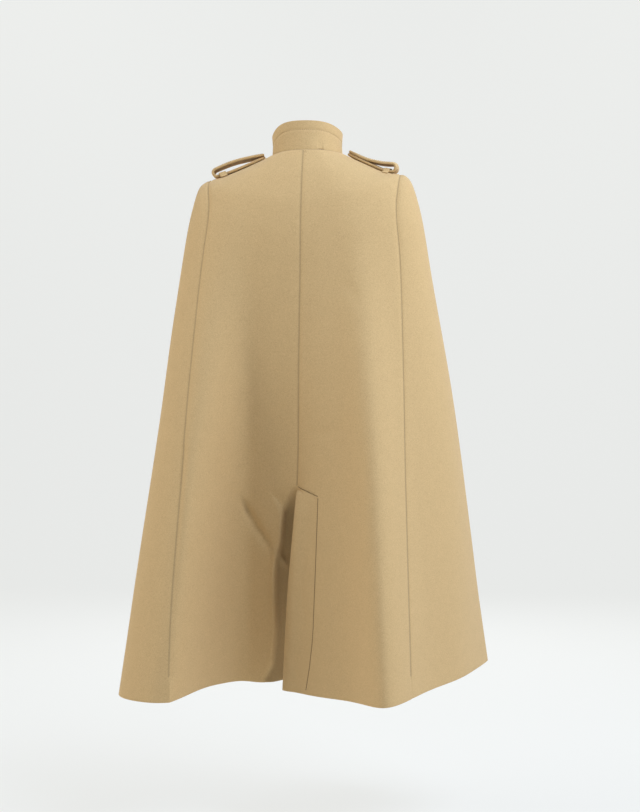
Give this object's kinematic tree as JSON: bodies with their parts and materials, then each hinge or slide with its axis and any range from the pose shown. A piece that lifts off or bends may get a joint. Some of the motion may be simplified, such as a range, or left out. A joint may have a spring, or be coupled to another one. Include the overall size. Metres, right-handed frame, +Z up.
{
  "type": "wool cape",
  "caption": "Calf-length wool cape in its worn form: stand collar, side panels with puffed caps, folded shoulder straps, a deep back fold and a slanted back vent.",
  "frame": {"origin": "the middle of the neck at the nape's level, where the cape is held", "axes": "+Z up, -Y to the wearer's front, +X to the wearer's left"},
  "size_m": [0.7588, 0.5468, 1.157],
  "materials": {
    "camel_wool": "melton wool with a short soft nap, matt",
    "dark_horn": "dark brown horn-like button, satin"
  },
  "bodies": {
    "root": {"back_left": "camel_wool", "back_right": "camel_wool", "side_left": "camel_wool", "side_right": "camel_wool", "front_left": "camel_wool", "front_right": "camel_wool", "collar": "camel_wool", "epaulette_left": "camel_wool", "epaulette_right": "camel_wool", "keeper_left": "camel_wool", "keeper_right": "camel_wool", "button_1": "dark_horn", "button_2": "dark_horn", "button_3": "dark_horn", "button_4": "dark_horn", "button_5": "dark_horn"}
  },
  "joints": []
}
